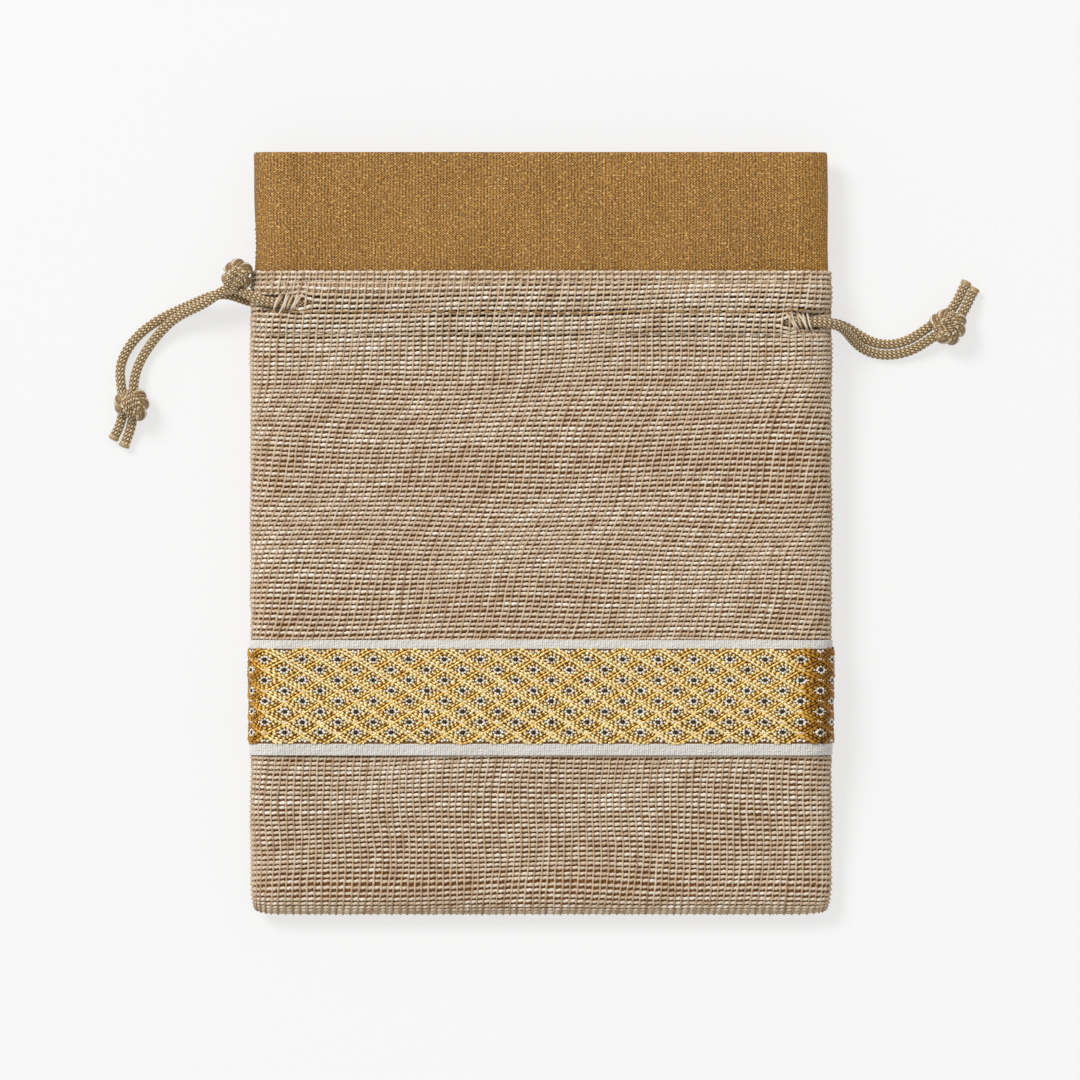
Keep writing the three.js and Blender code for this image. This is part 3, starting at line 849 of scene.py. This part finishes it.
def make_tissue_group():
    """Plain tissue, read from the cloth's own place: ribs along, finer picks across, streaks
    and grain. Shade runs from 0 to 1, Glint marks specks of metal yarn painted as bright
    glints, Height is the relief."""
    pitches = (("Rib Pitch", 0.75), ("Pick Pitch", 0.6), ("Grain", 2.2))
    group = new_group("tissue_weave", pitches, ("Shade", "Glint", "Height"))
    given = add_node(group, "NodeGroupInput", {}).outputs
    place = add_node(group, "ShaderNodeAttribute", {}, attribute_name="cloth").outputs["Vector"]
    parts = add_node(group, "ShaderNodeSeparateXYZ", {"Vector": place}).outputs

    def maths(operation, *values):
        node = add_node(group, "ShaderNodeMath", dict(enumerate(values)), operation=operation)
        return node.outputs["Value"]

    def noise(scale, detail, stretch):
        scaled = {0: place, 1: stretch}
        grow = add_node(group, "ShaderNodeVectorMath", scaled, operation="MULTIPLY")
        sizes = {"Vector": grow.outputs["Vector"], "Scale": scale, "Detail": detail}
        return add_node(group, "ShaderNodeTexNoise", sizes).outputs["Fac"]

    turn = 2 * np.pi
    across = maths("DIVIDE", parts["X"], given["Rib Pitch"])
    ribs = maths("SINE", maths("MULTIPLY", across, turn))
    picks = maths("DIVIDE", parts["Y"], given["Pick Pitch"])
    checks = maths("MULTIPLY", ribs, maths("SINE", maths("MULTIPLY_ADD", picks, turn, 0.7)))
    streaks = noise(1.0, 4.0, (2.4, 0.5, 1))
    blotches = noise(0.05, 3.0, (1, 1, 1))
    specks = noise(1.0, 2.0, (1.5, 2.2, 1))
    grain = noise(1.0, 2.0, (2.6, 2.4, 1))
    shade_value = maths("MULTIPLY", checks, 0.3)
    for part, share in ((streaks, 0.6), (blotches, 0.18), (ribs, 0.15)):
        shade_value = maths("MULTIPLY_ADD", part, share, shade_value)
    centred = maths("SUBTRACT", grain, 0.43)
    shade_value = maths("MULTIPLY_ADD", centred, given["Grain"], shade_value)
    bright = {"Value": specks, "From Min": 0.58, "From Max": 0.7}
    glint = add_node(group, "ShaderNodeMapRange", bright).outputs["Result"]
    height = maths("MULTIPLY_ADD", specks, 0.8, maths("MULTIPLY_ADD", checks, 0.5, streaks))
    add_node(group, "NodeGroupOutput", {"Shade": shade_value, "Glint": glint, "Height": height})
    return group


tissue_group = make_tissue_group()


def tissue_material(name, colors, glint, metal, roughness, grain):
    """Gold tissue, dark to light by its weave, with specks of metal yarn painted bright as glints."""
    material = bpy.data.materials.new(name)
    material.use_nodes = True
    tree = material.node_tree
    shader = tree.nodes["Principled BSDF"]
    shader.inputs["Metallic"].default_value = metal
    shader.inputs["Roughness"].default_value = roughness
    tissue = add_node(tree, "ShaderNodeGroup", {"Grain": grain}, node_tree=tissue_group).outputs
    woven = add_ramp(tree, colors, 0.25, 0.85, tissue["Shade"])
    specks = {"Factor": tissue["Glint"], "A": woven, "B": (*glint, 1)}
    lit = add_node(tree, "ShaderNodeMix", specks, data_type="RGBA").outputs["Result"]
    finish_surface(tree, lit, tissue["Height"], 0.7, 0.00012)
    return material


lining_material = tissue_material(
    "lining_tissue", shades("8a5c26 c08a4a"), shade("dcae6a"), 0.0, 0.7, 1.6
)
LINING_INSET = {"front": 0.95, "back": 0.95 + BACK_LIFT}
CHANNEL_LINING = 4.35
lining_u = np.linspace(-(FLAT_HALF + SIDE_ARC), FLAT_HALF + SIDE_ARC, 151)
lining_v = np.linspace(BOTTOM_FLAT_Y - BOTTOM_ARC, 58.5, 190)
LINING_GAP = 0.55

for face, side in (("front", 1), ("back", -1)):
    to_channel = ease(44.8, 49.2, lining_v)[:, None] + 0 * lining_u
    depth = LINING_INSET[face] + (CHANNEL_LINING - LINING_INSET[face]) * to_channel
    lining = sheet_grid(lining_u, lining_v, side, depth, 0.2, {"gap": LINING_GAP})
    halves = add_halves(
        f"tissue_lining_{face}", lining, lining_material, [f"lining_{face}"], True
    )


# ---- Mouth frill -----------------------------------------------------------------------
# A doubled band of gold tissue standing above the shell's fold, with soft ribs and a folded
# top edge. It is sewn in under the channel's upper row of stitching.
def frill_heights(y):
    rise = ease(60, 91.75, y)
    return 4.85 * (1 - rise) + 3.0 * rise, 9.95 * (1 - rise) + 10.2 * rise


frill_material = tissue_material(
    "frill_tissue", shades("58370b c8913e"), shade("eac478"), 0.2, 0.5, 1.7
)
FRILL_HALF = 69.0
FRILL_TOP_V = HALF_LENGTH
FRILL_EDGE_U = FRILL_HALF - SIDE_ROUND + SIDE_ARC
frill_u = np.linspace(-FRILL_EDGE_U, FRILL_EDGE_U, 775)
frill_v = np.concatenate([np.linspace(60, 90.6, 60), [91.0, 91.3, 91.55, 91.7, FRILL_TOP_V]])


def frill_ripple(u, v):
    """Soft waves, single ribs of the weave, and the rolled top fold."""
    soft = wander(u, v, 5, 0.16, 34, 50) + wander(v, u, 6, 0.07, 22, 9)
    ribs = 0.02 * np.cos(2 * np.pi * u / 0.75) * np.ones_like(v)
    roll = 0.25 * ease(90.9, 91.75, v) ** 2
    return soft + ribs + roll


for face, side in (("front", 1), ("back", -1)):
    kind = {"heights": frill_heights, "gap": 0.12, "half_width": FRILL_HALF}
    frill = sheet_grid(frill_u, frill_v, side, frill_ripple, 0.4, kind)
    halves = add_halves(
        f"gold_frill_{face}", frill, frill_material, [f"frill_{face}"], True
    )


# ---- Brocade border --------------------------------------------------------------------
# A 28 mm ribbon across the front: white ribbed selvedges, and a gold field of diamonds laid
# in doubled metal thread, each holding a ring of gold, cream beads and a dark centre.
BORDER_LOW = -53.3
BORDER_HIGH = -25.6
BORDER_INSET = -0.75
FIELD_LOW = -50.5
FIELD_HIGH = -27.7
DIAMOND_LONG = 8.54
ROW_STEP = 2.506  # from one row of dark centres to the next
ROWS = 9
FIRST_ROW = -50.3
FIRST_CENTRE = 2.5
BORDER_END_U = FLAT_HALF + SIDE_ARC * 0.97


def border_inset(u):
    """The ribbon stands above the mesh, and comes down to it where the side seam takes it in."""
    return BORDER_INSET + 0.5 * ease(65, 73, np.abs(u))


ground_colors = shades("42270a 7e5314 b4862f")
ground_material = yarn_material("border_ground", ground_colors, 0.7, 4, 4, 0.5, 0.6)
ground_u = np.linspace(-BORDER_END_U, BORDER_END_U, 201)
ground_v = np.linspace(FIELD_LOW - 0.6, FIELD_HIGH + 0.6, 50)
ground_depth = border_inset(ground_u)[None] + 0.28 + 0 * ground_v[:, None]
ground = sheet_grid(ground_u, ground_v, 1, ground_depth, 0.3, {"gap": 0.15})
grounds = add_halves("border_ground", ground, ground_material, ["woven_border"], True)


def painted_side_shade(u):
    """Painted shade: the metal thread is darkened to deep bronze where the ribbon turns down at the sides.
    """
    return 1 - 0.75 * ease(59, 67, u) - 0.6 * ease(63, 70, -u)


FIELD_MIDDLE = FIRST_ROW + ROWS * ROW_STEP / 2


def thread_lines(paths_u, paths_v, lift, girth, base_tone, numbers, twist=0.14, pitch=0.62):
    """Border threads along cloth paths [n, m], beaded by their twist."""
    run = np.cumsum(np.hypot(np.gradient(paths_u, axis=1), np.gradient(paths_v, axis=1)), axis=1)
    uneven = 0.16 * wander(paths_u, paths_v, 23, 1.0, 2.3, 1.7)
    bead = np.sin(2 * np.pi * (run + uneven) / pitch + numbers[:, None])
    inset = border_inset(paths_u) - lift
    line = lay_cloth(paths_u, paths_v, 1, inset, gap=0.15)
    out = outward(paths_u, paths_v, 1, inset, gap=0.15)
    half_width = girth * (1 + twist * bead)
    # Painted highlight: the tone rises on each twist bead, where the thread swells.
    tone = np.clip(base_tone + (0.1 + 0.6 * twist) * bead, 0.02, 1) * painted_side_shade(paths_u)
    made = ring_tubes(line, out, half_width, half_width * 0.85, 5, tone, run, numbers * 7.0)
    inside = (np.abs(paths_u) <= BORDER_END_U) & (np.abs(paths_v - FIELD_MIDDLE) < 11.45)
    return keep_tubes(made, inside, 5)


def lattice():
    """The doubled threads that mark out the diamonds. Each runs in a zigzag from edge to edge
    of the field, and rounds off where it turns back."""
    parts = []
    u = np.arange(-BORDER_END_U - 0.3, BORDER_END_U + 0.3, 0.16)[None]
    slant = ROWS * DIAMOND_LONG / 2  # across, while it crosses the field once
    starts = FIRST_CENTRE + (np.arange(ROWS)[:, None] + 0.5) * DIAMOND_LONG
    phase = np.mod((u - starts) / slant, 2)
    part = 1 - np.abs(phase - 1)
    rounding = 0.02
    part = np.sqrt(part**2 + rounding**2)
    part = 1 - np.sqrt((1 - part) ** 2 + rounding**2)
    way = np.where(phase < 1, 1.0, -1.0)
    v = FIRST_ROW - 0.4 + (ROWS * ROW_STEP + 0.8) * part
    v = v + wander(u, v, 21, 0.07, 40, 30) + wander(u, v, 24, 0.05, 3.1, 2.7)
    slope = np.gradient(v, axis=1) / np.gradient(u, axis=1)
    for aside, girth, bright, beaded in ((-0.3, 0.32, 0.7, 0.12), (0.34, 0.24, 0.56, 0.4)):
        shift = aside / np.sqrt(1 + slope**2)
        lift = 0.13 + 0.06 * way * np.cos(2 * np.pi * (v - FIRST_ROW) / ROW_STEP)
        # Painted highlight: threads that fall to the right are lighter than those that rise, so that both
        # slants catch the same light; they are also a little thicker.
        thick = girth * (1 - 0.1 * way)
        tone = bright - 0.1 * way + wander(u, v, 22, 0.05, 9, 9)
        uu = u - slope * shift
        number = np.arange(ROWS) + aside
        twist = beaded + 0.05 * (way < 0)
        parts.append(thread_lines(uu, v + shift, lift, thick, tone, number, twist, 1.1))
    return joined(parts)


def diamond_centres():
    across = np.arange(-10, 11)
    places = []
    for row in range(ROWS + 1):
        for i in across:
            u = FIRST_CENTRE + (i + 0.5 * (row % 2)) * DIAMOND_LONG
            places.append((u, FIRST_ROW + row * ROW_STEP))
    return np.array(places)


def rings(scale, girth, lift, tone, twist, pitch):
    """One small diamond of thread inside each large one."""
    centres = diamond_centres()
    t = np.linspace(0, 1, 81)
    corner = np.interp(t, [0, 0.25, 0.5, 0.75, 1], [1, 0, -1, 0, 1])
    rise = np.interp(t, [0, 0.25, 0.5, 0.75, 1], [0, 1, 0, -1, 0])
    u = centres[:, :1] + corner[None] * DIAMOND_LONG / 2 * scale
    v = centres[:, 1:] + rise[None] * ROW_STEP * scale
    return thread_lines(u, v, lift, girth, tone, np.arange(len(centres)) * 1.7, twist, pitch)


def bead_mesh(u, v, radius, lift, tones):
    """Small domed floats of thread, as round beads."""
    t = np.linspace(0, 1, 5)
    girth = radius[:, None] * np.sqrt(np.clip(1 - (2 * t - 1) ** 2, 0.03, 1))[None]
    uu = u[:, None] + (2 * t - 1)[None] * radius[:, None]
    vv = v[:, None] + np.zeros_like(uu)
    inset = border_inset(uu) - lift
    line = lay_cloth(uu, vv, 1, inset, gap=0.15)
    out = outward(uu, vv, 1, inset, gap=0.15)
    tone = np.broadcast_to(tones[:, None], uu.shape)
    made = ring_tubes(line, out, girth, girth * 0.8, 6, tone, uu, np.arange(len(u)) * 2.3)
    inside = (np.abs(uu) <= BORDER_END_U) & (np.abs(vv - FIELD_MIDDLE) < 11.0)
    return keep_tubes(made, inside, 6)


def bead_rings(places, radius, lift, low_tone, high_tone, seed):
    centres = diamond_centres()
    rng = np.random.default_rng(seed)
    u = (centres[:, :1] + np.array([p[0] for p in places])[None]).ravel()
    v = (centres[:, 1:] + np.array([p[1] for p in places])[None]).ravel()
    tones = rng.uniform(low_tone, high_tone, len(u))
    radii = radius * rng.uniform(0.85, 1.15, len(u))
    return bead_mesh(u + rng.normal(0, 0.05, len(u)), v + rng.normal(0, 0.04, len(u)), radii, lift, tones)


gold_colors = shades("5c3806 b07818 e2b044 f6d98e fff2c8")
gold_material = yarn_material("gold_thread", gold_colors, 0.38, 3.0, 4.0, 0.25, 0.3, metal=0.35)
lattices = add_halves("border_lattice", lattice(), gold_material, ["woven_border"])
inner = rings(0.62, 0.28, 0.05, 0.58, 0.52, 1.12)
ring_halves = add_halves("border_rings", inner, gold_material, ["woven_border"])

cream_colors = shades("c4b491 f2ead6 fffef9")
cream_material = yarn_material("cream_thread", cream_colors, 0.6, 3.0, 4.0, 0.3, 0.3, sheen=0.2)
near_beads = [(-0.98, 0), (0.98, 0), (0, 0.74), (0, -0.74)]
near_beads += [(-0.64, 0.52), (0.64, 0.52), (-0.64, -0.52), (0.64, -0.52)]
far_beads = [(-1.55, 0), (1.55, 0)]
corner_beads = [(DIAMOND_LONG / 2, 0), (DIAMOND_LONG / 2 - 0.55, 0.12), (DIAMOND_LONG / 2 + 0.55, -0.12)]
beads = joined(
    [
        bead_rings(near_beads, 0.31, 0.1, 0.15, 0.85, 31),
        bead_rings(far_beads, 0.22, 0.12, 0.2, 0.9, 32),
        bead_rings(corner_beads, 0.24, 0.24, 0.4, 0.9, 33),
    ]
)
bead_halves = add_halves("border_beads", beads, cream_material, ["woven_border"])

dark_colors = shades("16100a 2e241b 4a3c2e")
dark_material = yarn_material("dark_centre", dark_colors, 0.8, 3.0, 4.0, 0.4, 0.6)
centres = diamond_centres()
dark = bead_mesh(centres[:, 0], centres[:, 1], np.full(len(centres), 0.43), 0.12, np.full(len(centres), 0.4))
centre_halves = add_halves("border_centres", dark, dark_material, ["woven_border"])

selvedge_colors = shades("a9a29a dcd8d1 f4f1ec")
selvedge_material = yarn_material("white_selvedge", selvedge_colors, 0.8, 2.0, 5.0, 0.5, 0.5, sheen=0.15)


def selvedge_ribs(u, v):
    """Fine upright ribs, with a little random unevenness."""
    fine = 0.05 * np.sin(2 * np.pi * u / 0.52) + 0.03 * np.sin(2 * np.pi * v / 0.4 + np.pi * u / 0.52)
    fine = fine + wander(u, v, 41, 0.02, 1.3, 0.9)
    return border_inset(u) + 0.05 - fine


for edge, low, high in (("upper", FIELD_HIGH, BORDER_HIGH), ("lower", BORDER_LOW, FIELD_LOW)):
    strip_u = np.linspace(-BORDER_END_U, BORDER_END_U, 1301)
    strip_v = np.linspace(low, high, 16)
    # Painted highlight and shade: the tone is lighter on the raised ribs and darker between them, with
    # random tone over it.
    tone = 0.5 + 0.3 * np.sin(2 * np.pi * strip_u / 0.52)[None] + np.zeros((16, 1))
    tone = tone + wander(strip_u[None], strip_v[:, None], 42, 0.16, 1.1, 0.8)
    strip = sheet_grid(strip_u, strip_v, 1, selvedge_ribs, 0.4, {"gap": 0.15}, tone)
    strips = add_halves(
        f"border_selvedge_{edge}", strip, selvedge_material, ["woven_border"]
    )


# ---- Stitching -------------------------------------------------------------------------
# Running stitches in twisted cotton: two rows that hold the border, and three rows on each
# face that close the channel, part its two lanes and hold the frill.
def stitch_row(side, y, base_inset, length, pitch, girth, end_u, seed):
    rng = np.random.default_rng(seed)
    starts = np.arange(-end_u, end_u - length, pitch)
    t = np.linspace(0, 1, 7)
    u = starts[:, None] + t[None] * length + rng.normal(0, 0.08, (len(starts), 1))
    v = y + rng.normal(0, 0.05, (len(starts), 1)) + wander(u, u * 0, seed, 0.2, 60, 60)
    swell = np.sqrt(np.clip(1 - (2 * t - 1) ** 4, 0.02, 1))[None]
    inset = base_inset + 0.3 * (2 * t - 1)[None] ** 4 + exit_dip(u, v) + 0.0 * u
    line = lay_cloth(u, v, side, inset)
    out = outward(u, v, side, inset)
    half_width = girth * swell * np.ones_like(u)
    tone = 0.55 + rng.normal(0, 0.1, (len(starts), 1)) + 0.0 * u
    return ring_tubes(line, out, half_width, half_width, 6, tone, u, np.arange(len(starts)) * 1.9)


gold_stitch_colors = shades("6b4a1c a17c44 cbab72")
gold_stitch = yarn_material("golden_thread", gold_stitch_colors, 0.6, 1.5, 5.0, 0.4)
pale_stitch_colors = shades("8a7353 bda888 dccdb4")
pale_stitch = yarn_material("natural_thread", pale_stitch_colors, 0.7, 1.5, 5.0, 0.4)
for face, side in (("front", 1), ("back", -1)):
    for row, y in STITCH_Y.items():
        material = gold_stitch if row == "middle" else pale_stitch
        made = stitch_row(side, y, 0.22, 2.3, 2.9, 0.2, 66, int(y) + side)
        node = f"channel_stitch_{row}_{face}"
        add_halves(f"channel_row_{row}_{face}", made, material, [node])
white_colors = shades("c9c4bb e4e0d8 faf8f4")
white_stitch = yarn_material("white_thread", white_colors, 0.7, 1.5, 5.0, 0.4)
for edge, y in (("upper", BORDER_HIGH - 1.2), ("lower", BORDER_LOW + 1.2)):
    made = stitch_row(1, y, BORDER_INSET - 0.02, 1.5, 2.3, 0.11, 68, int(-y))
    add_halves(f"border_row_{edge}", made, white_stitch, [f"border_stitch_{edge}"])


# ---- Seams -----------------------------------------------------------------------------
# Close whipped stitches that join front to back down each side and along the bottom, and
# the two short sides of the frill.
def whip_stitches(places, up_way, out_way, reach, girth, seed):
    """Small bridges of thread over the seam, one at each place."""
    rng = np.random.default_rng(seed)
    t = np.linspace(-1, 1, 7)
    bow = 0.22 * (1 - t**2)
    line = (
        places[:, None, :]
        + t[None, :, None] * reach * up_way
        + bow[None, :, None] * out_way
        + rng.normal(0, 0.08, (len(places), 1, 3))
    )
    out = np.broadcast_to(out_way, line.shape)
    half_width = girth * np.sqrt(np.clip(1 - t**6, 0.05, 1))[None] * np.ones((len(places), 1))
    tone = np.full(half_width.shape, 0.5)
    number = np.arange(len(places)) * 1.3
    return ring_tubes(line, out, half_width, half_width, 6, tone, np.abs(t)[None] + 0 * tone, number)


def seam_middle(y, heights):
    floor, top = heights(y)
    return (floor + top) / 2


def seam_yarn(u, v, girth, out_way, **kind):
    """The yarn that the stitches whip round, laid where front and back meet."""
    line = lay_cloth(u, v, 1, 0.5, gap=0.0, **kind)[None]
    run = np.arange(len(u)) * 1.0
    out = np.broadcast_to(out_way, line.shape)
    size = girth * (1 + 0.12 * np.sin(run * 1.9))[None]
    return ring_tubes(line, out, size, size, 7, 0.4 + 0 * size, run[None], np.zeros(1))


for end, sign in (("left", -1), ("right", 1)):
    sideways = np.array([sign * 1.0, 0, 0])
    y = np.arange(-82, 62, 1.3)
    places = np.stack([np.full_like(y, sign * (HALF_WIDTH - 0.5)), y, seam_middle(y, outer_heights)], 1)
    lean = np.array([0.0, 0.35, 1.0])
    stitches = whip_stitches(places, lean, sideways, 0.95, 0.24, 61)
    v = np.arange(-84, 63, 0.6)
    yarn = seam_yarn(np.full_like(v, sign * (FLAT_HALF + SIDE_ARC)), v, 0.42, sideways)
    add_halves(
        f"side_stitches_{end}", joined([stitches, yarn]), pale_stitch, [f"side_seam_{end}"]
    )
    y = np.arange(64.4, 91, 1.1)
    places = np.stack([np.full_like(y, sign * (FRILL_HALF - 0.55)), y, seam_middle(y, frill_heights)], 1)
    stitches = whip_stitches(places, lean, sideways, 0.6, 0.15, 62)
    add_halves(f"frill_stitches_{end}", stitches, gold_stitch, [f"frill_seam_{end}"])
x = np.arange(-61, 62, 1.3)
bottom_y = np.full_like(x, -HALF_LENGTH + 0.45)
places = np.stack([x, bottom_y, seam_middle(bottom_y, outer_heights)], 1)
stitches = whip_stitches(places, np.array([0.35, 0, 1.0]), np.array([0, -1.0, 0]), 0.9, 0.24, 63)
u = np.arange(-FLAT_HALF - SIDE_ARC * 0.9, FLAT_HALF + SIDE_ARC * 0.9, 0.6)
yarn = seam_yarn(u, np.full_like(u, BOTTOM_FLAT_Y - BOTTOM_ARC), 0.42, (0.0, -1.0, 0.0))
add_halves("bottom_stitches", joined([stitches, yarn]), pale_stitch, ["bottom_seam"])
